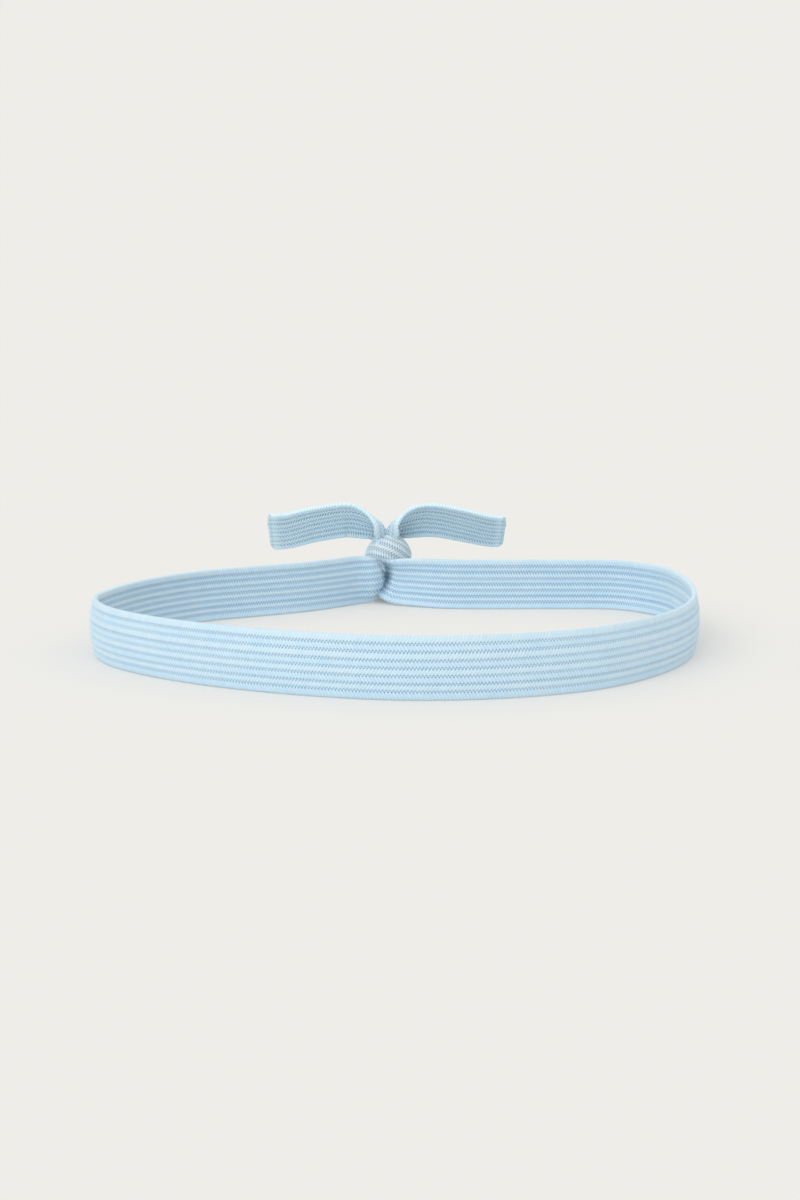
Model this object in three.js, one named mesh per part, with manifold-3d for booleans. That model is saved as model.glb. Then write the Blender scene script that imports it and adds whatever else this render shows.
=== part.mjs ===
// Sports headband: one length of ribbed braided elastic, tied into a ring by an overhand knot.
// Millimetres, +Z up. The ring stands on its lower edge, the brow side faces -Y, and the knot with
// its two tails is at the back, +Y. The strap is divided where it enters the knot and where the
// tails leave it, because each of those stretches is a rigid solid here.

import * as THREE from 'three';
import { mergeVertices } from 'three/addons/utils/BufferGeometryUtils.js';
import Module from 'manifold-3d';

const wasm = await Module();
wasm.setup();

// ---------------------------------------------------------------- driving dimensions

const STRAP_WIDTH = 16;
const STRAP_THICKNESS = 1.4;
const EDGE_CHAMFER = { across: 0.4, through: 0.3 };
const RIBS = 8;
const RIB_PITCH = STRAP_WIDTH / RIBS;
const CHANNEL = { width: 15.1, height: 0.85 };   // the hollow inside the braid that holds the rubber
const THREAD = 0.55;                             // side of one square-cut rubber thread
const END_GAP = 0.3;                             // between two stretches of the strap
const HINGE_CLEARANCE = 1.0;                     // a tail's root stands this far off its hinge line
const MOUTH_GAP = 0.5;                           // and the strand in the knot stops this far short
const TIP_LENGTH = 1.2;                          // the melted end of a tail

const RING_MIDDLE = [-0.95, -15.65];             // the ring's own centre, in front of the origin
const MID_HEIGHT = STRAP_WIDTH / 2;

// ---------------------------------------------------------------- the strap's route

// The whole strap is one line, from the tip of the left tail through the knot, round the ring and
// back through the knot to the tip of the right tail. Places are relative to the ring's centre.
// "across" points from the lower (or back) selvedge to the upper (or front) one.
const LEFT_TAIL = [
  { at: [-43.8, 98, 23.1], across: [0, -0.62, 0.78], width: 16, thickness: 1.4 },
  { at: [-29, 98.2, 25.8], across: [0, -0.62, 0.78], width: 16, thickness: 1.4 },
  { at: [-18, 98.5, 27.1], across: [0, -0.64, 0.77], width: 16, thickness: 1.4 },
  { at: [-12.2, 98.8, 26.6], across: [0.1, -0.76, 0.64], width: 15.4, thickness: 1.4 },
  { at: [-8.8, 99.2, 25], across: [0.12, -0.88, 0.4], width: 14, thickness: 1.4 },
];
const LEFT_OF_KNOT = [
  { at: [-7.2, 99.5, 22.4], across: [0, -0.97, 0.22], width: 13, thickness: 2 },
  { at: [-6.4, 98, 14.6], across: [0, -0.9, 0.45], width: 11.4, thickness: 2 },
  { at: [-6.3, 94.4, 10.4], across: [0, -0.45, 0.9], width: 10.6, thickness: 2 },
  { at: [-6.8, 90.8, 9.3], across: [0, -0.1, 1], width: 11.2, thickness: 2 },
  { at: [-9.6, 88.4, 8], across: [0, 0, 1], width: 14.6, thickness: 2 },
];
const RING = [
  [-13.5, 86.4], [-20.5, 79.2], [-31, 69.2], [-46, 59.3], [-61, 49], [-75, 30], [-82.6, 10],
  [-85.2, -7], [-79, -26], [-65, -44], [-44, -59.5], [-20, -70.5], [2, -75.6], [26, -73.4],
  [50, -63], [68, -44.5], [80, -20.5], [86.3, 10], [86.4, 42], [82, 60], [70, 73.5],
  [52, 76.2], [30, 76], [16, 77], [5.5, 81.6],
].map(([x, y]) => (
  { at: [x, y, MID_HEIGHT], across: [0, 0, 1], width: STRAP_WIDTH, thickness: STRAP_THICKNESS }));
const RIGHT_OF_KNOT = [
  { at: [0.4, 86, 8], across: [0, 0, 1], width: 14.6, thickness: 2 },
  { at: [-2.9, 90, 9.3], across: [0, -0.1, 1], width: 11.2, thickness: 2 },
  { at: [-3.2, 94.2, 10.4], across: [0, -0.45, 0.9], width: 10.6, thickness: 2 },
  { at: [-2.2, 98, 14.6], across: [0, -0.9, 0.45], width: 11.4, thickness: 2 },
  { at: [-0.4, 99.5, 22.4], across: [0, -0.97, 0.22], width: 13, thickness: 2 },
];
const RIGHT_TAIL = [
  { at: [1.4, 99.2, 25], across: [-0.12, -0.88, 0.4], width: 14, thickness: 1.4 },
  { at: [4.8, 98.8, 26.6], across: [-0.1, -0.76, 0.64], width: 15.4, thickness: 1.4 },
  { at: [10.5, 98.5, 27.1], across: [0, -0.64, 0.77], width: 16, thickness: 1.4 },
  { at: [22, 98.2, 25.8], across: [0, -0.66, 0.75], width: 16, thickness: 1.4 },
  { at: [36.2, 98, 23.7], across: [0, -0.68, 0.73], width: 16, thickness: 1.4 },
];
const STRAP = [...LEFT_TAIL, ...LEFT_OF_KNOT, ...RING, ...RIGHT_OF_KNOT, ...RIGHT_TAIL];
const LEFT_MOUTH = LEFT_TAIL.length;                        // stations where the strap is divided
const RING_START = LEFT_MOUTH + LEFT_OF_KNOT.length;
const RING_END = RING_START + RING.length - 1;
const RIGHT_MOUTH = RING_END + RIGHT_OF_KNOT.length;

const WRAP = {
  middle: [-3.7, 97.6, 11.9],
  radii: [7.6, 9.4, 11.4],      // across X, along the strands, and across the strands
  tilt: Math.PI / 4,            // the strands pass through half way between level and upright
  around: 20,
  down: 12,
  tunnelMargin: { across: 0.7, through: 1.4 },
};

const MESHING = {                                // steps along a stretch, divisions across it
  ring: { steps: 64, divisions: 1 },
  knot: { steps: 16, divisions: 4 },
  tail: { steps: 18, divisions: 8 },
  tip: { steps: 2, divisions: 4 },
};
const DIVISIONS_PER_STATION = 24;                // for measuring along the route

// ---------------------------------------------------------------- materials

const braid = new THREE.MeshStandardMaterial({ color: 0xb4d2e4, roughness: 0.85, metalness: 0 });
const rubber = new THREE.MeshStandardMaterial({ color: 0xd8d2c2, roughness: 0.6, metalness: 0 });
const melted = new THREE.MeshStandardMaterial({ color: 0xa5c6da, roughness: 0.45, metalness: 0 });

// ---------------------------------------------------------------- tools

// A line through stations that each carry a place, the direction across the strap, and the
// strap's width and thickness there.
class StrapRoute {
  constructor(stations) {
    const vector = ([x, y, z]) => new THREE.Vector3(x, y, z);
    this.stations = stations;
    this.middle = new THREE.CatmullRomCurve3(
      stations.map((station) => vector(station.at).add(vector([...RING_MIDDLE, 0]))),
      false, 'centripetal');
    this.across = new THREE.CatmullRomCurve3(stations.map((station) => vector(station.across)));
    this.middle.arcLengthDivisions = DIVISIONS_PER_STATION * (stations.length - 1);
    this.length = this.middle.getLength();
  }

  distanceAt(station) {
    return this.middle.getLengths()[DIVISIONS_PER_STATION * station];
  }

  size(key, t) {
    const place = t * (this.stations.length - 1);
    const before = Math.min(Math.floor(place), this.stations.length - 2);
    const [a, b] = [this.stations[before][key], this.stations[before + 1][key]];
    return THREE.MathUtils.lerp(a, b, place - before);
  }

  // A point given by its share of the half width, its share of the half thickness and its
  // distance along the route.
  place(acrossShare, throughShare, distance) {
    const u = distance / this.length;
    const t = this.middle.getUtoTmapping(u);
    const along = this.middle.getTangentAt(u);
    const across = this.across.getPoint(t);
    across.addScaledVector(along, -across.dot(along)).normalize();
    const through = new THREE.Vector3().crossVectors(along, across);
    return this.middle.getPointAt(u)
      .addScaledVector(across, acrossShare * this.size('width', t) / 2)
      .addScaledVector(through, throughShare * this.size('thickness', t) / 2);
  }
}

// A rectangle about (middle, 0), in shares of the strap's half width and half thickness. Its two
// long sides are divided, so that they follow the strap where it twists.
function rectangle(middle, width, height, divisions = 1) {
  const share = (across, through) => (
    new THREE.Vector2(2 * across / STRAP_WIDTH, 2 * through / STRAP_THICKNESS));
  const stops = Array.from({ length: divisions + 1 }, (_, i) => width * (i / divisions - 0.5));
  return [
    ...stops.map((stop) => share(middle + stop, -height / 2)),
    ...stops.reverse().map((stop) => share(middle + stop, height / 2)),
  ];
}

// The strap's own outline: the same rectangle with a small flat on each selvedge.
function strapOutline(divisions) {
  const flat = 1 - 2 * EDGE_CHAMFER.through / STRAP_THICKNESS;
  const faces = rectangle(0, STRAP_WIDTH - 2 * EDGE_CHAMFER.across, STRAP_THICKNESS, divisions);
  const half = faces.length / 2;
  return [
    new THREE.Vector2(-1, -flat), ...faces.slice(0, half), new THREE.Vector2(1, -flat),
    new THREE.Vector2(1, flat), ...faces.slice(half), new THREE.Vector2(-1, flat),
  ];
}

// One closed solid: an outline, with an optional hole through it, bent along a route.
function sweep(outline, hole, route, from, to, steps) {
  const shape = new THREE.Shape(outline);
  if (hole) shape.holes.push(new THREE.Path(hole));
  const geometry = new THREE.ExtrudeGeometry(shape, { depth: 1, steps, bevelEnabled: false });
  const position = geometry.attributes.position;
  for (let i = 0; i < position.count; i++) {
    const distance = THREE.MathUtils.lerp(from, to, position.getZ(i));
    const point = route.place(position.getX(i), position.getY(i), distance);
    position.setXYZ(i, point.x, point.y, point.z);
  }
  return welded(geometry);
}

function welded(geometry) {
  geometry.deleteAttribute('normal');
  geometry.deleteAttribute('uv');
  const whole = mergeVertices(geometry, 1e-4);
  whole.computeVertexNormals();
  return whole;
}

function solidOf(geometry) {
  const mesh = new wasm.Mesh({
    numProp: 3,
    vertProperties: geometry.attributes.position.array,
    triVerts: Uint32Array.from(geometry.index.array),
  });
  return new wasm.Manifold(mesh);
}

function geometryOf(solid) {
  const { vertProperties, triVerts } = solid.getMesh();
  const geometry = new THREE.BufferGeometry();
  geometry.setAttribute('position', new THREE.BufferAttribute(vertProperties, 3));
  geometry.setIndex(new THREE.BufferAttribute(triVerts, 1));
  geometry.computeVertexNormals();
  return geometry;
}

function named(name, geometry, material) {
  const mesh = new THREE.Mesh(geometry, material);
  mesh.name = name;
  return mesh;
}

// ---------------------------------------------------------------- pieces

// A stretch of the strap: the braided cover, and the rubber threads that lie inside it, one
// behind each rib.
function strapStretch(prefix, from, to, { steps, divisions }) {
  const stretch = new THREE.Group();
  const channel = rectangle(0, CHANNEL.width, CHANNEL.height, divisions);
  const cover = sweep(strapOutline(divisions), channel, strap, from, to, steps);
  stretch.add(named(`${prefix}_cover`, cover, braid));
  for (let rib = 0; rib < RIBS; rib++) {
    const middle = (rib - (RIBS - 1) / 2) * RIB_PITCH;
    const thread = sweep(rectangle(middle, THREAD, THREAD), null, strap, from, to, steps);
    stretch.add(named(`${prefix}_core_${rib + 1}`, thread, rubber));
  }
  return stretch;
}

// The strap's own stretch inside the knot, gathered narrower and thicker.
function knotStrand(side, from, to) {
  const strand = sweep(strapOutline(MESHING.knot.divisions), null, strap, from, to, MESHING.knot.steps);
  return named(`knot_${side}_strand`, strand, braid);
}

// The turn of the knot that goes round both strands, cut where they pass through it.
function knotWrap() {
  const lump = new THREE.SphereGeometry(1, WRAP.around, WRAP.down);
  lump.scale(WRAP.radii[0], WRAP.radii[2], WRAP.radii[1]);
  lump.rotateX(-WRAP.tilt);
  lump.translate(WRAP.middle[0], WRAP.middle[1], WRAP.middle[2]);
  lump.translate(...RING_MIDDLE, 0);
  const wider = STRAP.map((station) => ({
    ...station,
    width: station.width + WRAP.tunnelMargin.across,
    thickness: station.thickness + WRAP.tunnelMargin.through,
  }));
  const tunnelRoute = new StrapRoute(wider);
  const { steps, divisions } = MESHING.knot;
  let wrap = solidOf(welded(lump));
  for (const [from, to] of [[LEFT_MOUTH - 1, RING_START], [RING_END, RIGHT_MOUTH + 1]]) {
    const [start, end] = [tunnelRoute.distanceAt(from), tunnelRoute.distanceAt(to)];
    const tunnel = sweep(strapOutline(divisions), null, tunnelRoute, start, end, steps);
    wrap = wrap.subtract(solidOf(tunnel));
  }
  return named('knot_wrap', geometryOf(wrap), braid);
}

// A tail: its stretch of strap from near its hinge line to the tip, and the melted tip itself.
function tail(side, hinge, tip) {
  const outward = Math.sign(tip - hinge);
  const ends = [hinge + outward * HINGE_CLEARANCE, tip - outward * (TIP_LENGTH + END_GAP)];
  const group = strapStretch(`${side}_tail`, Math.min(...ends), Math.max(...ends), MESHING.tail);
  const tipEnds = [tip - outward * TIP_LENGTH, tip];
  const { steps, divisions } = MESHING.tip;
  const seal = sweep(strapOutline(divisions), null, strap, Math.min(...tipEnds),
    Math.max(...tipEnds), steps);
  group.add(named(`${side}_tip_seal`, seal, melted));
  return group;
}

const strap = new StrapRoute(STRAP);
const [leftMouth, ringStart, ringEnd, rightMouth] = [LEFT_MOUTH, RING_START, RING_END, RIGHT_MOUTH]
  .map((station) => strap.distanceAt(station));

const headband = new THREE.Group();
headband.add(strapStretch('loop', ringStart, ringEnd, MESHING.ring));
headband.add(knotStrand('left', leftMouth + MOUTH_GAP, ringStart - END_GAP));
headband.add(knotStrand('right', ringEnd + END_GAP, rightMouth - MOUTH_GAP));
headband.add(knotWrap());
headband.add(tail('left', leftMouth, 0), tail('right', rightMouth, strap.length));

export default headband;
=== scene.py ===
import math

import bpy
import numpy as np
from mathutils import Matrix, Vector


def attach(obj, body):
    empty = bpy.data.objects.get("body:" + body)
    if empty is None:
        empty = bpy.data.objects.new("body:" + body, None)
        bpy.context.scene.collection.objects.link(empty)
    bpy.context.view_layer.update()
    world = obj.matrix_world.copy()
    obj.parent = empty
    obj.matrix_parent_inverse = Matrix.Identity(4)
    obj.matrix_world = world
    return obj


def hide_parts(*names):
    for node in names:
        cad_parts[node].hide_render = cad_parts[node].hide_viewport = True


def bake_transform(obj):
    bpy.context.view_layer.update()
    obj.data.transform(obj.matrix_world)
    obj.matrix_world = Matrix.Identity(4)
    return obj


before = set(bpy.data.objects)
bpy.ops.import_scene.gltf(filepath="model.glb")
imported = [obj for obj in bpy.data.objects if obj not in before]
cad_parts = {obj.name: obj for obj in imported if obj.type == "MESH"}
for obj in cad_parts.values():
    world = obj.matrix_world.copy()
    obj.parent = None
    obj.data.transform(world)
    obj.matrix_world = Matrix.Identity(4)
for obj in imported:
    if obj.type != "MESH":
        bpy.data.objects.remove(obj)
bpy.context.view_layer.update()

MM = 0.001

# ---------------------------------------------------------------- the strap's route, in millimetres
# One strap runs from the left tail's tip through the knot, round the ring counter-clockwise, back
# through the knot and out to the right tail's tip. Each station gives its middle, the direction
# across the strap, the width along its curved section, and the section itself: the angle that it
# bends through (above 0 the middle stands outward, below 0 the selvedges do), how much of that
# bend is at the selvedges, and how far the selvedges rather than the middle keep to the route.
RING_MIDDLE = np.array([-0.95, -15.65, 0.0])
RING_HEIGHT = 8.25
RING_WIDTH = 16.3
LEFT_TAIL = [
    ((-43.8, 98, 23.2), (0.02, -0.62, 0.78), 16.4, (-0.1, 0.2, 0.8)),
    ((-38, 98, 23.5), (0, -0.62, 0.78), 16.3, (-0.2, 0.2, 0.8)),
    ((-29, 98.2, 25.6), (0, -0.62, 0.78), 16.2, (-0.45, 0.2, 0.8)),
    ((-18, 98.5, 27.2), (0, -0.62, 0.78), 16.2, (-0.8, 0.2, 0.8)),
    ((-15.2, 98.8, 26.8), (0, -0.62, 0.78), 16.2, (-1.2, 0.2, 0.8)),
    ((-11.6, 98.6, 25.3), (-0.04, -0.65, 0.76), 16.2, (-1.7, 0.2, 0.85)),
    ((-8.7, 97.9, 22.9), (-0.1, -0.7, 0.71), 16.2, (-2.7, 0.2, 0.95)),
]
LEFT_OF_KNOT = [
    ((-7.6, 97.2, 20.4), (-0.1, -0.72, 0.69), 16.0, (-3.0, 0.2, 0.95)),
    ((-7.0, 97.2, 17.2), (0, -0.8, 0.6), 14.0, (-2.6, 0.2, 0.7)),
    ((-6.0, 96.4, 13.8), (0, -0.85, 0.52), 13.5, (-2.6, 0.3, 0.6)),
    ((-5.0, 94.4, 10.4), (0, -0.45, 0.9), 14.0, (-4.0, 0.5, 0.5)),
    ((-5.0, 91.4, 9.4), (0, -0.1, 1), 15.0, (-4.5, 0.55, 0.45)),
    ((-7.9, 88.6, 8.4), (0, 0, 1), 16.0, (-2.7, 0.6, 0.4)),
]
RING = [  # x, y and the section
    (-13.5, 86.4, (-0.7, 0.5, 0.6)), (-20.5, 79.2, (-0.1, 0.3, 0.9)), (-31, 69.2, (0.3, 0.2, 1)),
    (-46, 59.3, (0.45, 0.2, 1)), (-61, 49, (0.5, 0.2, 1)), (-75.5, 30, (0.6, 0.2, 1)),
    (-83.3, 10, (0.64, 0.2, 1)), (-85.9, -7, (0.64, 0.2, 1)), (-79.6, -26.2, (0.6, 0.2, 1)),
    (-65, -44, (0.55, 0.2, 1)), (-44, -59.5, (0.5, 0.2, 1)), (-20, -70.5, (0.45, 0.2, 1)),
    (2, -75.6, (0.45, 0.2, 1)), (26, -73.4, (0.45, 0.2, 1)), (50, -63, (0.5, 0.2, 1)),
    (68, -44.5, (0.55, 0.2, 1)), (80.7, -20.7, (0.6, 0.2, 1)), (87.2, 9.5, (0.64, 0.2, 1)),
    (87.6, 42, (0.64, 0.2, 1)), (83.8, 61, (0.6, 0.2, 1)), (72, 74.4, (0.5, 0.2, 1)),
    (52, 76.2, (0.4, 0.2, 1)), (30, 76, (0.35, 0.2, 1)), (16, 77, (0.4, 0.2, 0.8)),
    (5.5, 81.6, (1.0, 0.1, 0.4)),
]
RIGHT_OF_KNOT = [
    ((0.0, 85.6, 8.2), (0, 0, 1), 16.0, (1.7, 0.2, 0.15)),
    ((-2.9, 88.3, 9.2), (0, -0.05, 1), 15.4, (2.8, 0.45, 0.0)),
    ((-3.7, 92.6, 9.8), (0, -0.25, 1), 14.2, (2.4, 0.2, 0.0)),
    ((-1.8, 96.2, 13.2), (0, -0.85, 0.52), 13.5, (-1.2, 0.3, 0.5)),
    ((-0.4, 97.2, 17.2), (0, -0.8, 0.6), 14.0, (-2.4, 0.2, 0.7)),
    ((0.2, 97.2, 20.4), (0.12, -0.72, 0.68), 16.0, (-3.0, 0.2, 0.95)),
]
RIGHT_TAIL = [
    ((1.1, 97.9, 22.9), (0.12, -0.7, 0.7), 16.2, (-2.7, 0.2, 0.95)),
    ((4.0, 98.6, 25.4), (0.06, -0.65, 0.76), 16.2, (-1.7, 0.2, 0.85)),
    ((7.7, 98.8, 26.9), (0, -0.64, 0.77), 16.2, (-1.2, 0.2, 0.8)),
    ((12.5, 98.5, 27.2), (0, -0.65, 0.76), 16.2, (-0.8, 0.2, 0.8)),
    ((22, 98.2, 25.6), (0, -0.67, 0.74), 16.2, (-0.45, 0.2, 0.8)),
    ((31, 98, 23.7), (0.02, -0.7, 0.71), 16.2, (-0.2, 0.2, 0.8)),
    ((36.6, 98, 23.3), (0.02, -0.72, 0.69), 16.2, (-0.1, 0.2, 0.8)),
]
STRAP = [
    *LEFT_TAIL, *LEFT_OF_KNOT,
    *[((x, y, RING_HEIGHT), (0, 0, 1), RING_WIDTH, section) for x, y, section in RING],
    *RIGHT_OF_KNOT, *RIGHT_TAIL,
]
# the stations where the strap leaves the tails and the ring for the knot
LEFT_MOUTH = len(LEFT_TAIL)
RING_START = LEFT_MOUTH + len(LEFT_OF_KNOT) - 1
RING_END = RING_START + len(RING) + 1
RIGHT_MOUTH = RING_END + len(RIGHT_OF_KNOT) - 1

# ---------------------------------------------------------------- the braid, in millimetres
RIBS = 8
STRAP_WIDTH = 16.0    # the braid's own; where the strap is narrower its ribs shrink with it
PITCH = 0.9           # one stroke of yarn along a rib
STEP = PITCH / 8      # between samples along a rib
AROUND = 20           # points round a rib
RIB_WIDTHS = [2.15, 1.95, 2.15, 1.9, 1.95, 2.05, 1.85, 2.2]     # from the upper selvedge down
RIB_HEIGHTS = [0.7, 0.66, 0.76, 0.67, 0.73, 0.74, 0.65, 0.7]    # half thickness
RIB_OVERLAP = 0.02    # each side of a rib reaches this far into the next one
SQUARENESS = 4.2      # superellipse exponent of a rib's section
STROKE_RELIEF = 0.2
RIDGE_LEVEL = 0.75    # where on a stroke, from its foot to its top, the rib has its plain thickness
ZIGZAG = 0.34         # how far the strokes of two ribs reach into each other
SELVEDGE_ZIGZAG = 0.2         # the share of it that is left along a selvedge
SELVEDGE_SMOOTHING = 0.55     # the share of the relief that is lost there
GROOVE_PAINTED_SHADE = [0.8, 1.0, 0.7, 1.0, 0.75, 1.0, 0.85]         # painted shade in the groove between one rib and the next
# The grooves gape on one face of the strap. For each face: the relief of the strokes on the crest of
# a rib, what is added towards the groove and its power, and how much painted shade the gaps between
# the strokes get on the crest and in the groove, with the power that keeps the painted shade in the
# groove.
OPEN_FACE = {"crest": 0.6, "edge": 0.8, "rise": 2, "gap": 0.25, "groove_gap": 1.9, "spread": 2}
CLOSED_FACE = {"crest": 0.25, "edge": 0.95, "rise": 3, "gap": 0.18, "groove_gap": 1.3, "spread": 4}
GROOVE_LEAST_PAINTED_SHADE = 0.06    # a groove has this much painted shade even on top of its strokes
THREAD_RADIUS = 0.3
THREAD_SIDES = 8
RING_THREAD_STEP = 1.5
TAIL_THREAD_STEP = 0.8
TIP_LENGTH = 1.2      # the melted end of a tail
TIP_STEP = 0.08
TIP_FADE = 3.0        # the strokes flatten over this length before the melted end
TIP_LEAST_RELIEF = 0.35

# ---------------------------------------------------------------- painted shade where the knot keeps light out
# In a strand the painted shade grows from the first distance inside the ring's end over the second
# one, and ends at the third. The middle ribs lie deepest and get all of it, the outer ribs a share.
STRAND_PAINTED_SHADE = (1.5, 2.1, 9.0)
OUTER_RIB_PAINTED_SHADE = 0.3
TURN_PAINTED_SHADE_FROM = 3.0         # painted shade on a turn begins this far forward of its middle
TURN_PAINTED_SHADE_OVER = 3.0
TAIL_PAINTED_SHADE = 0.4              # painted shade at the root of a tail
TAIL_PAINTED_SHADE_OVER = 4.5


def unit(v):
    return v / np.linalg.norm(v, axis=-1, keepdims=True)


def catmull_rom(points, t, centripetal):
    """Catmull-Rom through points, with the ends extended straight; t counts stations."""
    points = np.asarray(points, float)
    if points.ndim == 1:
        points = points[:, None]
    i = np.minimum(np.floor(t).astype(int), len(points) - 2)
    w = (t - i)[:, None]
    ends = np.vstack([2 * points[0] - points[1], points, 2 * points[-1] - points[-2]])
    p0, p1, p2, p3 = ends[i], ends[i + 1], ends[i + 2], ends[i + 3]
    if centripetal:
        pairs = (p0, p1), (p1, p2), (p2, p3)
        gap = [((b - a) ** 2).sum(1, keepdims=True) ** 0.25 for a, b in pairs]
        near, far = gap[0] + gap[1], gap[1] + gap[2]
        t1 = ((p1 - p0) / gap[0] - (p2 - p0) / near + (p2 - p1) / gap[1]) * gap[1]
        t2 = ((p2 - p1) / gap[1] - (p3 - p1) / far + (p3 - p2) / gap[2]) * gap[1]
    else:
        t1, t2 = (p2 - p0) / 2, (p3 - p1) / 2
    square = 3 * (p2 - p1) - 2 * t1 - t2
    cube = 2 * (p1 - p2) + t1 + t2
    return p1 + t1 * w + square * w**2 + cube * w**3


SHARES = np.linspace(-1.1, 1.1, 89)    # places across the strap, from -1 at one selvedge to 1
MIDDLE = len(SHARES) // 2
SELVEDGE = [int(np.argmin(np.abs(SHARES - end))) for end in (-1, 1)]
ROUTE_SAMPLES = 12000
TURN_SAMPLES = 1500
SINK_SHARE = 0.16     # the part of a turn, at each end, that sinks towards the middle


class Route:
    """A strap's centre line, with the direction across it, its width and its section."""

    def __init__(self, middle, across, width, section):
        self.along = unit(np.gradient(middle, axis=0))
        self.across = unit(across - (across * self.along).sum(1, keepdims=True) * self.along)
        self.middle, self.width, self.section = middle, width, section
        steps = np.linalg.norm(np.diff(middle, axis=0), axis=1)
        self.distance = np.concatenate([[0], np.cumsum(steps)])
        self.length = float(self.distance[-1])

    def pick(self, values, at):
        if values.ndim == 1:
            return np.interp(at, self.distance, values)
        return np.stack([np.interp(at, self.distance, v) for v in values.T], 1)

    def stretch(self, start, end, step):
        """Evenly spaced samples of everything between two distances."""
        at = np.linspace(start, end, max(2, int(round((end - start) / step)) + 1))
        along = unit(self.pick(self.along, at))
        across = self.pick(self.across, at)
        across = unit(across - (across * along).sum(1, keepdims=True) * along)
        width = self.pick(self.width, at)
        bend, at_edges, hold = self.pick(self.section, at).T[:, :, None]
        angle = bend / 2 * ((1 - at_edges) * SHARES + at_edges * SHARES**5)
        pieces = (SHARES[1] - SHARES[0]) * width[:, None] / 2
        start_column = np.zeros((len(at), 1))
        side, lift = (
            np.concatenate([start_column, np.cumsum((f[:, 1:] + f[:, :-1]) / 2 * pieces, 1)], 1)
            for f in (np.cos(angle), -np.sin(angle))
        )
        side -= side[:, MIDDLE, None]
        lift -= lift[:, MIDDLE, None]
        lift = lift - hold * lift[:, SELVEDGE].mean(1, keepdims=True)
        return {"at": at, "middle": self.pick(self.middle, at), "across": across, "along": along,
                "out": np.cross(along, across), "width": width, "angle": angle,
                "side": side, "lift": lift}


def strap_route():
    t = np.linspace(0, len(STRAP) - 1, ROUTE_SAMPLES)
    k = np.arange(len(STRAP))
    middle = catmull_rom([s[0] for s in STRAP], t, True) + RING_MIDDLE
    across = catmull_rom([s[1] for s in STRAP], t, False)
    width = np.interp(t, k, [s[2] for s in STRAP])
    section = catmull_rom([s[3] for s in STRAP], t, False)
    return Route(middle, across, width, section), t


strap, station_of = strap_route()


def distance_at(station):
    return float(np.interp(station, station_of, strap.distance))


def place(frames, v, n):
    """Points at v across the strap and n through it; both have one row for each sample."""
    share = 2 * v / frames["width"][:, None]
    at = (share - SHARES[0]) / (SHARES[1] - SHARES[0])
    low = np.clip(np.floor(at).astype(int), 0, len(SHARES) - 2)
    part = at - low

    def read(name):
        table = frames[name]
        return (np.take_along_axis(table, low, 1) * (1 - part)
                + np.take_along_axis(table, low + 1, 1) * part)

    angle = read("angle")
    side, out = read("side") + n * np.sin(angle), read("lift") + n * np.cos(angle)
    return (frames["middle"][:, None] + side[..., None] * frames["across"][:, None]
            + out[..., None] * frames["out"][:, None]) * MM


def shrink(frames):
    """How much narrower than the braid itself the strap is at each sample."""
    return (frames["width"] / STRAP_WIDTH)[:, None]


def rib_centres():
    widths = np.array(RIB_WIDTHS) / sum(RIB_WIDTHS)
    return 0.5 - (np.cumsum(widths) - widths / 2), widths


RIB_CENTRES, RIB_SHARES = rib_centres()


def rib_section():
    """Evenly spaced points round a superellipse, from -1 to 1 both ways."""
    theta = np.linspace(0, 2 * np.pi, 2001)
    x, y = (np.sign(f) * np.abs(f) ** (2 / SQUARENESS) for f in (np.cos(theta), np.sin(theta)))
    length = np.concatenate([[0], np.cumsum(np.hypot(np.diff(x), 0.9 * np.diff(y)))])
    at = np.arange(AROUND) * length[-1] / AROUND
    return np.interp(at, length, x), np.interp(at, length, y)


SECTION_X, SECTION_Y = rib_section()


def tube_faces(rows, around):
    j, k = np.meshgrid(np.arange(rows - 1), np.arange(around), indexing="ij")
    here, there = j * around + k, j * around + (k + 1) % around
    return np.stack([here, there, there + around, here + around], -1).reshape(-1, 4)


class Mesh:
    """Collects tubes, then writes them as one object with its attributes."""

    def __init__(self):
        self.points, self.quads, self.triangles, self.values, self.count = [], [], [], {}, 0

    def tube(self, grid, values):
        """A closed tube through a grid of points, with a value for each under every name."""
        rows, around = grid.shape[:2]
        caps = grid[[0, -1]].mean(1)
        self.points += [grid.reshape(-1, 3), caps]
        self.quads.append(tube_faces(rows, around) + self.count)
        first, last = self.count + rows * around, self.count + rows * around + 1
        k = np.arange(around)
        turn = (k + 1) % around
        start, end = self.count + k, self.count + (rows - 1) * around + k
        self.triangles.append(np.stack([np.full(around, first), self.count + turn, start], 1))
        self.triangles.append(np.stack([np.full(around, last), end, end - k + turn], 1))
        for name, value in values.items():
            value = np.broadcast_to(value, grid.shape[:2])
            self.values.setdefault(name, []).extend([value.ravel(), value[[0, -1]].mean(1)])
        self.count += rows * around + 2

    def object(self, name, material):
        points = np.concatenate(self.points)
        quads, triangles = np.concatenate(self.quads), np.concatenate(self.triangles)
        mesh = bpy.data.meshes.new(name)
        mesh.vertices.add(len(points))
        mesh.vertices.foreach_set("co", points.astype(np.float32).ravel())
        corners = np.concatenate([quads.ravel(), triangles.ravel()])
        sizes = np.concatenate([np.full(len(quads), 4), np.full(len(triangles), 3)])
        mesh.loops.add(len(corners))
        mesh.loops.foreach_set("vertex_index", corners.astype(np.int32))
        mesh.polygons.add(len(sizes))
        starts = np.concatenate([[0], np.cumsum(sizes)[:-1]])
        mesh.polygons.foreach_set("loop_start", starts.astype(np.int32))
        mesh.polygons.foreach_set("use_smooth", np.ones(len(sizes), bool))
        mesh.update(calc_edges=True)
        mesh.validate()
        for attribute_name, parts in self.values.items():
            made = mesh.attributes.new(attribute_name, "FLOAT", "POINT")
            made.data.foreach_set("value", np.concatenate(parts).astype(np.float32))
        mesh.materials.append(material)
        made = bpy.data.objects.new(name, mesh)
        bpy.context.scene.collection.objects.link(made)
        return made


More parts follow.
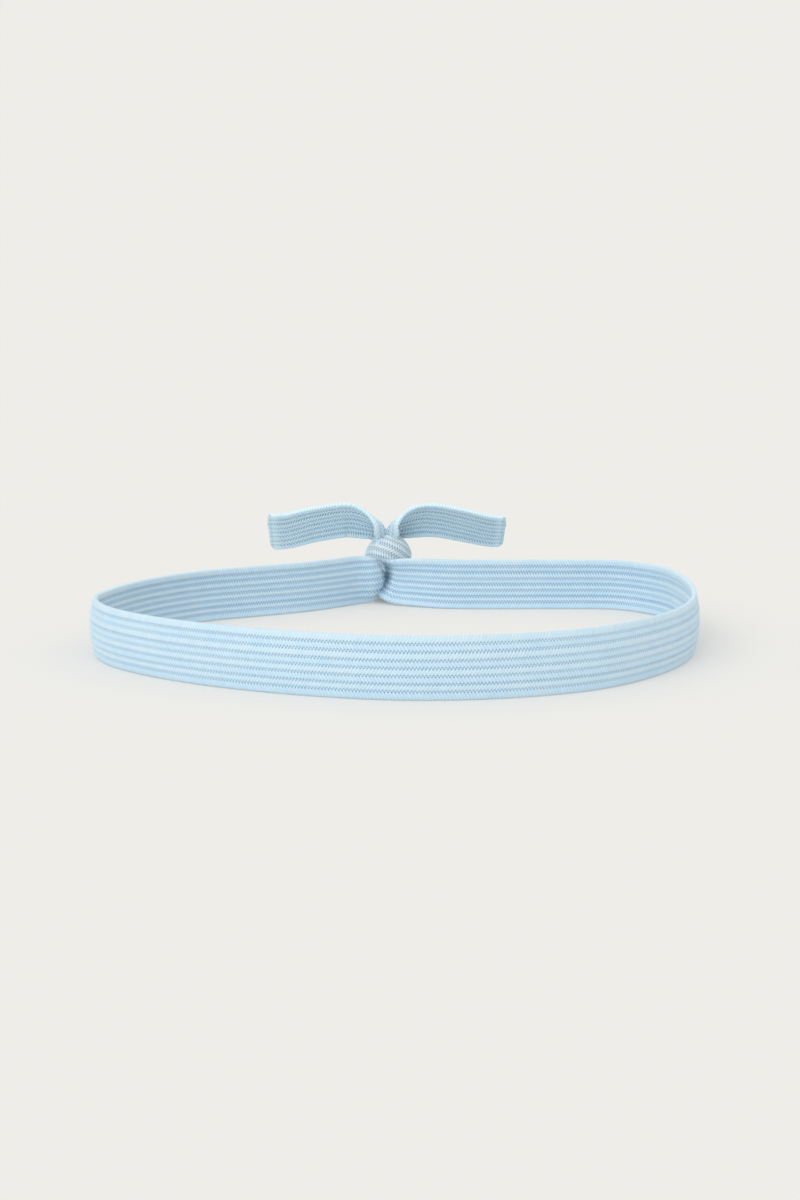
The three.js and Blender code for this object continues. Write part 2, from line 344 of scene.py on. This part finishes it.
def add_rib(mesh, frames, rib, fade=None, open_side=-1, shade=None):
    """One rib: yarns wound slantwise round a rubber thread, interlocked with the next rib's.

    Along the rib, fade scales the relief and shade sets how much painted shade darkens it. The
    grooves gape on open_side.
    """
    lean = 1 if rib % 2 else -1
    phase = frames["at"][:, None] / PITCH + 0.5 * rib + 0.5 * lean * SECTION_X
    wave = np.cos(2 * np.pi * phase)
    ridge = np.sqrt(0.5 - 0.5 * wave)         # 0 between two strokes, 1 on top of one
    amount = 1.0 if fade is None else fade[:, None]
    edge = np.abs(SECTION_X)
    selvedge = ((rib == 0) & (SECTION_X > 0)) | ((rib == RIBS - 1) & (SECTION_X < 0))
    reach = np.where(selvedge, SELVEDGE_ZIGZAG, 1.0) * ZIGZAG * edge**3 * amount
    half_width = RIB_SHARES[rib] * STRAP_WIDTH / 2 + RIB_OVERLAP
    v = (RIB_CENTRES[rib] * STRAP_WIDTH + SECTION_X * half_width
         - np.sign(SECTION_X) * reach * wave) * shrink(frames)
    opened = SECTION_Y * open_side > 0
    face = {key: np.where(opened, OPEN_FACE[key], CLOSED_FACE[key]) for key in OPEN_FACE}
    relief = face["crest"] + face["edge"] * edge ** face["rise"]
    relief = relief * np.where(selvedge, 1 - SELVEDGE_SMOOTHING * edge**2, 1.0)
    thick = RIB_HEIGHTS[rib] + STROKE_RELIEF * amount * relief * (ridge - RIDGE_LEVEL)
    # painted shade in the gaps between the strokes and in the grooves between the ribs
    dark = np.array([0.0, *GROOVE_PAINTED_SHADE, 0.0])
    groove = np.where(SECTION_X > 0, dark[rib], dark[rib + 1]) * edge ** face["spread"]
    hollow = (1 - ridge) ** 1.2
    hollow_shade = face["gap"] * hollow + groove * (GROOVE_LEAST_PAINTED_SHADE + face["groove_gap"] * hollow)
    # painted shade inside the knot and at the roots of the tails
    painted_shade = 0.0 if shade is None else shade[:, None]
    mesh.tube(place(frames, v, SECTION_Y * thick),
              {"stroke": phase, "hollow_shade": np.clip(hollow_shade * amount, 0, 1), "rib": float(rib),
               "painted_shade": painted_shade})


def add_thread(mesh, frames, rib):
    """The rubber thread in the middle of a rib."""
    turn = 2 * np.pi * np.arange(THREAD_SIDES) / THREAD_SIDES
    v = (RIB_CENTRES[rib] * STRAP_WIDTH + THREAD_RADIUS * np.cos(turn)) * shrink(frames)
    n = np.broadcast_to(THREAD_RADIUS * np.sin(turn), v.shape)
    mesh.tube(place(frames, v, n), {"rib": float(rib)})


def threads(start, end, step):
    """The eight rubber threads of a stretch of strap."""
    mesh = Mesh()
    for rib in range(RIBS):
        add_thread(mesh, strap.stretch(start, end, step), rib)
    return mesh


def cores(prefix):
    return [f"{prefix}_core_{i}" for i in range(1, RIBS + 1)]


# ---------------------------------------------------------------- materials
PAINTED_SHADE_COLOUR = (0.02, 0.085, 0.16)    # painted shade: the braid's colour where no light gets in between its folds


def material(name):
    made = bpy.data.materials.new(name)
    made.use_nodes = True
    return made, made.node_tree, made.node_tree.nodes["Principled BSDF"]


def node(tree, kind, **settings):
    """A new node; each setting is the value of an input or else a property of the node."""
    made = tree.nodes.new(kind)
    for key, value in settings.items():
        if key in made.inputs:
            made.inputs[key].default_value = value
        else:
            setattr(made, key, value)
    return made


def math_node(tree, operation, first, second=None):
    made = node(tree, "ShaderNodeMath", operation=operation)
    for i, value in enumerate((first, second)):
        if value is None:
            continue
        if isinstance(value, (int, float)):
            made.inputs[i].default_value = value
        else:
            tree.links.new(value, made.inputs[i])
    return made.outputs[0]


def add(tree, first, second):
    return math_node(tree, "ADD", first, second)


def times(tree, first, second):
    return math_node(tree, "MULTIPLY", first, second)


def mixed(tree, factor, a, b):
    """The colour a, turning into b as the factor goes from 0 to 1."""
    made = node(tree, "ShaderNodeMix", data_type="RGBA", blend_type="MIX")
    for socket, value in ((made.inputs["Factor"], factor), (made.inputs[6], a), (made.inputs[7], b)):
        if isinstance(value, (int, float)):
            socket.default_value = value
        elif isinstance(value, tuple):
            socket.default_value = (*value, 1.0)
        else:
            tree.links.new(value, socket)
    return made.outputs[2]


def attribute(tree, name):
    return node(tree, "ShaderNodeAttribute", attribute_name=name).outputs["Fac"]


def noise(tree, scale, detail):
    """Noise fixed to the object."""
    place_of = node(tree, "ShaderNodeTexCoord").outputs["Object"]
    made = node(tree, "ShaderNodeTexNoise", Scale=scale, Detail=detail)
    tree.links.new(place_of, made.inputs["Vector"])
    return made.outputs["Fac"]


def add_bump(tree, shader, height, strength, distance):
    bump = node(tree, "ShaderNodeBump", Strength=strength, Distance=distance)
    tree.links.new(height, bump.inputs["Height"])
    tree.links.new(bump.outputs["Normal"], shader.inputs["Normal"])


def dye(tree, stroke, rib):
    """How deep the dye is: every stroke and every rib takes it a little differently."""
    each = node(tree, "ShaderNodeTexWhiteNoise", noise_dimensions="2D")
    pair = node(tree, "ShaderNodeCombineXYZ")
    tree.links.new(math_node(tree, "FLOOR", stroke), pair.inputs[0])
    tree.links.new(rib, pair.inputs[1])
    tree.links.new(pair.outputs[0], each.inputs["Vector"])
    cloud = noise(tree, 110.0, 2.0)
    wide = math_node(tree, "PINGPONG", times(tree, rib, 0.5), 0.5)
    shade = add(tree, times(tree, each.outputs["Value"], 0.3), times(tree, cloud, 0.5))
    return add(tree, shade, times(tree, wide, 0.5))


def braid_material(name, light, deep, hollow_shade_colour):
    made, tree, shader = material(name)
    stroke, hollow_shade, rib, painted_shade = (attribute(tree, n) for n in ("stroke", "hollow_shade", "rib", "painted_shade"))
    body = mixed(tree, dye(tree, stroke, rib), light, deep)
    # painted shade in the gaps between the strokes and in the grooves
    colour = mixed(tree, hollow_shade, body, hollow_shade_colour)
    # painted shade inside the knot and at the roots of the tails, mixed towards its dark colour
    tree.links.new(mixed(tree, painted_shade, colour, PAINTED_SHADE_COLOUR), shader.inputs["Base Color"])
    # filaments run along each stroke, five to a stroke
    filaments = math_node(tree, "SINE", times(tree, stroke, 2 * math.pi * 5))
    fluff = noise(tree, 9000.0, 1.0)
    add_bump(tree, shader, add(tree, times(tree, filaments, 0.35), fluff), 0.35, 0.00004)
    rough = add(tree, times(tree, fluff, 0.12), 0.68)
    tree.links.new(rough, shader.inputs["Roughness"])
    shader.inputs["Sheen Weight"].default_value = 0.25
    shader.inputs["Sheen Roughness"].default_value = 0.5
    shader.inputs["Specular IOR Level"].default_value = 0.3
    return made


def rubber_material():
    made, tree, shader = material("rubber")
    chalk = noise(tree, 2500.0, 3.0)
    colour = mixed(tree, chalk, (0.78, 0.76, 0.68), (0.9, 0.89, 0.84))
    tree.links.new(colour, shader.inputs["Base Color"])
    shader.inputs["Roughness"].default_value = 0.6
    return made


def seal_material():
    made, tree, shader = material("melted_braid")
    blot = noise(tree, 1400.0, 3.0)
    body = mixed(tree, blot, (0.64, 0.81, 0.91), (0.52, 0.73, 0.87))
    # painted shade in the hollows between the melted ribs
    colour = mixed(tree, attribute(tree, "hollow_shade"), body, (0.34, 0.54, 0.7))
    tree.links.new(colour, shader.inputs["Base Color"])
    add_bump(tree, shader, blot, 0.5, 0.00008)
    tree.links.new(add(tree, times(tree, blot, 0.3), 0.28), shader.inputs["Roughness"])
    return made


BRAID = braid_material("braid", (0.685, 0.83, 0.915), (0.52, 0.73, 0.89), (0.1, 0.29, 0.53))
# painted light: the tails get a lighter copy of the same braid, with darker painted shade in its
# gaps and grooves
TAIL_BRAID_PAINTED_LIGHT = braid_material(
    "braid_of_tails_painted_light", (0.77, 0.915, 0.985), (0.63, 0.86, 0.98), (0.07, 0.24, 0.48))
# painted shade: the knot gets a greyer, darker copy of the same braid
KNOT_BRAID_PAINTED_SHADE = braid_material(
    "braid_of_knot_painted_shade", (0.72, 0.82, 0.86), (0.6, 0.75, 0.83), (0.05, 0.15, 0.27))
RUBBER = rubber_material()
SEAL = seal_material()


# ---------------------------------------------------------------- the ring
def ring(start, end):
    frames = strap.stretch(start, end, STEP)
    for rib in range(RIBS):
        mesh = Mesh()
        add_rib(mesh, frames, rib)
        piece = mesh.object(f"loop_rib_{rib + 1}", BRAID)
        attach(piece, "band")
        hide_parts("loop_cover")
    piece = threads(start, end, RING_THREAD_STEP).object("loop_threads", RUBBER)
    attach(piece, "band")
    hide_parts(*cores("loop"))


# ---------------------------------------------------------------- the knot
def knot_strand(side, start, end, ring_mouth):
    """The strap inside the knot, with painted shade where the knot squeezes it just behind the ring.
    """
    mesh = Mesh()
    frames = strap.stretch(start, end, STEP)
    # painted shade, growing with the distance inside the ring's end and strongest on the middle ribs
    inside = np.abs(frames["at"] - ring_mouth)
    nearest, over, farthest = STRAND_PAINTED_SHADE
    painted_shade = np.clip((inside - nearest) / over, 0, 1) * (inside < farthest)
    for rib in range(RIBS):
        towards_middle = 1 - abs(rib - (RIBS - 1) / 2) / (RIBS / 2)
        share = OUTER_RIB_PAINTED_SHADE + (1 - OUTER_RIB_PAINTED_SHADE) * towards_middle
        add_rib(mesh, frames, rib, shade=painted_shade * share)
    piece = mesh.object(f"knot_{side}_strand_ribs", BRAID)
    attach(piece, "band")
    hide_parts(f"knot_{side}_strand")


def turn_route(middle, axis, radii, start, end, climb, sink, width, bend, cone):
    """A strap wound round an axis, its angle counted from the back of the knot.

    It climbs along the axis, leans by cone and bends through its section by bend. Its two ends sink
    towards the middle by the shares in sink.
    """
    axis = unit(np.array(axis, float))
    first = np.array((0.0, 1.0, 0.0))
    first = unit(first - (first @ axis) * axis)
    second = np.cross(axis, first)
    share = np.linspace(0, 1, TURN_SAMPLES)
    angle = start + (end - start) * share
    at_start = np.clip(1 - share / SINK_SHARE, 0, 1) ** 2
    at_end = np.clip(1 - (1 - share) / SINK_SHARE, 0, 1) ** 2
    size = 1 - sink[0] * at_start - sink[1] * at_end
    rise = climb * (share - 0.5)
    points = (np.array(middle) + RING_MIDDLE + rise[:, None] * axis
              + (radii[0] * size * np.cos(angle))[:, None] * first
              + (radii[1] * size * np.sin(angle))[:, None] * second)
    outward = np.cos(angle)[:, None] * first + np.sin(angle)[:, None] * second
    ones = np.ones(TURN_SAMPLES)
    section = np.stack([bend * ones, 0 * ones, 0 * ones], 1)
    return Route(points, axis - math.tan(cone) * outward, width * ones, section)


def knot_turn(name, turn, painted_shade):
    """A turn of the knot, with painted shade, as strong as its last argument, on a front that shows
    only between the two strands.
    """
    mesh = Mesh()
    frames = turn.stretch(0, turn.length, STEP)
    # painted shade on the front of the turn
    forward = turn.middle[:, 1].mean() - frames["middle"][:, 1]
    shade = painted_shade * np.clip((forward - TURN_PAINTED_SHADE_FROM) / TURN_PAINTED_SHADE_OVER, 0, 1)
    for rib in range(RIBS):
        add_rib(mesh, frames, rib, open_side=1, shade=shade)
    piece = mesh.object(name, KNOT_BRAID_PAINTED_SHADE)
    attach(piece, "band")
    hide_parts("knot_wrap")


UPPER_TURN = turn_route(
    middle=(-2.4, 97.5, 15.9), axis=(0.42, 0.35, 0.84), radii=(8.8, 7.1), start=-0.55 * math.pi,
    end=1.7 * math.pi, climb=-0.8, sink=(0.4, 0.25), width=18.6, bend=2.5, cone=0.2)
LOWER_TURN = turn_route(
    middle=(-4.3, 97.4, 6.6), axis=(-0.3, 0.1, 0.95), radii=(7.6, 7.0), start=-0.6 * math.pi,
    end=1.6 * math.pi, climb=0.6, sink=(0.4, 0.3), width=10.0, bend=1.4, cone=0.0)


# ---------------------------------------------------------------- the tails
def add_seal(mesh, frames):
    """The melted end: the ribs run together and thin out to a rounded rim."""
    half = 60         # points across each face
    v = np.concatenate([np.linspace(0.5, -0.5, half), np.linspace(-0.5, 0.5, half)])    # in widths
    face = np.concatenate([np.ones(half), -np.ones(half)])
    near = np.abs(v[:, None] - RIB_CENTRES[None, :]) / (RIB_SHARES[None, :] / 2)
    lobe = np.sqrt(np.clip(1 - 0.75 * near.min(1) ** 2, 0, 1))
    rim = np.clip(1 - (np.abs(v) * 2) ** 14, 0, 1)
    at = frames["at"] - frames["at"][0]
    far = np.clip(at / at[-1], 0, 1)[:, None]
    thin = np.sqrt(np.clip(1 - far**3, 0.02, 1))
    lobe = lobe * (1 - 0.5 * far) + 0.5 * far
    wobble = 0.05 * np.sin(v * 31 + 1.3) * far
    grid = place(frames, v * STRAP_WIDTH * shrink(frames),
                 face * rim * (0.66 * lobe * thin + wobble * thin))
    corner = 0.9 * far * (np.abs(v) * 2) ** 10 + 0.12 * far * np.sin(v * 37)
    grid -= corner[..., None] * frames["along"][:, None] * MM
    # painted shade in the hollows between the lobes of the melted ribs
    mesh.tube(grid, {"hollow_shade": np.clip((1 - lobe) * 1.2, 0, 1)})


def tail_tip(side, seal_at, tip):
    frames = strap.stretch(*sorted((seal_at, tip)), TIP_STEP)
    if tip < seal_at:         # the left tail's tip is where the strap starts
        frames = {key: values[::-1] for key, values in frames.items()}
        frames["at"], frames["along"] = -frames["at"], -frames["along"]
    mesh = Mesh()
    add_seal(mesh, frames)
    piece = mesh.object(f"{side}_tip_melt", SEAL)
    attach(piece, f"{side}_tail")
    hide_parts(f"{side}_tip_seal")


def tail(side, mouth, tip):
    """A tail: its ribs, its rubber threads and its melted tip."""
    outward = 1 if tip > mouth else -1
    seal_at = tip - outward * TIP_LENGTH
    start, end = sorted((mouth, seal_at))
    body = f"{side}_tail"
    frames = strap.stretch(start, end, STEP)
    fade = np.clip(np.abs(frames["at"] - seal_at) / TIP_FADE, TIP_LEAST_RELIEF, 1)
    # painted shade at the root of the tail, fading towards the tip
    shade = TAIL_PAINTED_SHADE * np.clip(1 - np.abs(frames["at"] - mouth) / TAIL_PAINTED_SHADE_OVER, 0, 1)
    for rib in range(RIBS):
        mesh = Mesh()
        add_rib(mesh, frames, rib, fade, 1, shade)
        piece = mesh.object(f"{side}_tail_rib_{rib + 1}", TAIL_BRAID_PAINTED_LIGHT)
        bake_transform(piece)
        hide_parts(f"{side}_tail_cover")
    piece = threads(start, end, TAIL_THREAD_STEP).object(f"{side}_tail_threads", RUBBER)
    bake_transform(piece)
    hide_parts(*cores(body))
    tail_tip(side, seal_at, tip)


# ---------------------------------------------------------------- floor, light and camera
BACKDROP = (0.855, 0.847, 0.815)
FLOOR_COLOUR = (0.82, 0.814, 0.806)
FLOOR_HALF_SIZE = 40.0
FLOOR_DROP = 0.0001           # the floor lies this far below the headband
SUN_TOWARDS = (-0.4, -0.69, 0.6)
SUN_ENERGY = 1.0
SUN_ANGLE = math.radians(50)
CAMERA_AT = (-0.00005, -0.54365, 0.0918)
CAMERA_DIP = 0.14597          # radians below the horizon
CAMERA_LENS = 55.32           # millimetres, on a sensor 36 mm high
SENSOR = 36.0


def floor_material():
    """Plain matte that turns into the backdrop itself away from the object."""
    made, tree, shader = material("studio_floor")
    shader.inputs["Base Color"].default_value = (*FLOOR_COLOUR, 1)
    shader.inputs["Roughness"].default_value = 1.0
    shader.inputs["Specular IOR Level"].default_value = 0.0
    glow = node(tree, "ShaderNodeEmission")
    glow.inputs["Color"].default_value = (*BACKDROP, 1)
    radius = node(tree, "ShaderNodeVectorMath", operation="LENGTH")
    tree.links.new(node(tree, "ShaderNodeTexCoord").outputs["Object"], radius.inputs[0])
    spread = node(tree, "ShaderNodeMapRange", interpolation_type="SMOOTHSTEP")
    for socket, value in (("From Min", 0.05), ("From Max", 0.4), ("To Min", 0.2), ("To Max", 1.0)):
        spread.inputs[socket].default_value = value
    tree.links.new(radius.outputs["Value"], spread.inputs["Value"])
    blend = node(tree, "ShaderNodeMixShader")
    tree.links.new(spread.outputs["Result"], blend.inputs["Fac"])
    tree.links.new(shader.outputs["BSDF"], blend.inputs[1])
    tree.links.new(glow.outputs["Emission"], blend.inputs[2])
    tree.links.new(blend.outputs["Shader"], tree.nodes["Material Output"].inputs["Surface"])
    return made


def floor():
    mesh = bpy.data.meshes.new("studio_floor")
    size = FLOOR_HALF_SIZE
    corners = [(-size, -size, 0), (size, -size, 0), (size, size, 0), (-size, size, 0)]
    mesh.from_pydata(corners, [], [(0, 1, 2, 3)])
    mesh.materials.append(floor_material())
    piece = bpy.data.objects.new("studio_floor", mesh)
    piece.location.z = -FLOOR_DROP
    bpy.context.scene.collection.objects.link(piece)


def light():
    world = bpy.data.worlds.new("studio")
    world.use_nodes = True
    background = world.node_tree.nodes["Background"]
    background.inputs["Color"].default_value = (*BACKDROP, 1)
    background.inputs["Strength"].default_value = 1.0
    bpy.context.scene.world = world
    lamp = bpy.data.lights.new("key", "SUN")
    lamp.energy = SUN_ENERGY
    lamp.angle = SUN_ANGLE
    piece = bpy.data.objects.new("key", lamp)
    piece.rotation_euler = Vector(SUN_TOWARDS).to_track_quat("Z", "Y").to_euler()
    bpy.context.scene.collection.objects.link(piece)


def camera():
    lens = bpy.data.cameras.new("camera")
    lens.sensor_width = SENSOR
    lens.lens = CAMERA_LENS
    piece = bpy.data.objects.new("camera", lens)
    piece.location = CAMERA_AT
    piece.rotation_euler = (math.pi / 2 - CAMERA_DIP, 0, 0)
    bpy.context.scene.collection.objects.link(piece)
    bpy.context.scene.camera = piece
    bpy.context.scene.view_settings.view_transform = "Standard"


left_mouth, ring_start, ring_end, right_mouth = (
    distance_at(station) for station in (LEFT_MOUTH, RING_START, RING_END, RIGHT_MOUTH)
)
ring(ring_start, ring_end)
knot_strand("left", left_mouth, ring_start, ring_start)
knot_strand("right", ring_end, right_mouth, ring_end)
# painted shade only on the lower turn's front
knot_turn("knot_upper_turn", UPPER_TURN, painted_shade=0.0)
knot_turn("knot_lower_turn", LOWER_TURN, painted_shade=0.7)
tail("left", left_mouth, 0.0)
tail("right", right_mouth, strap.length)
floor()
light()
camera()
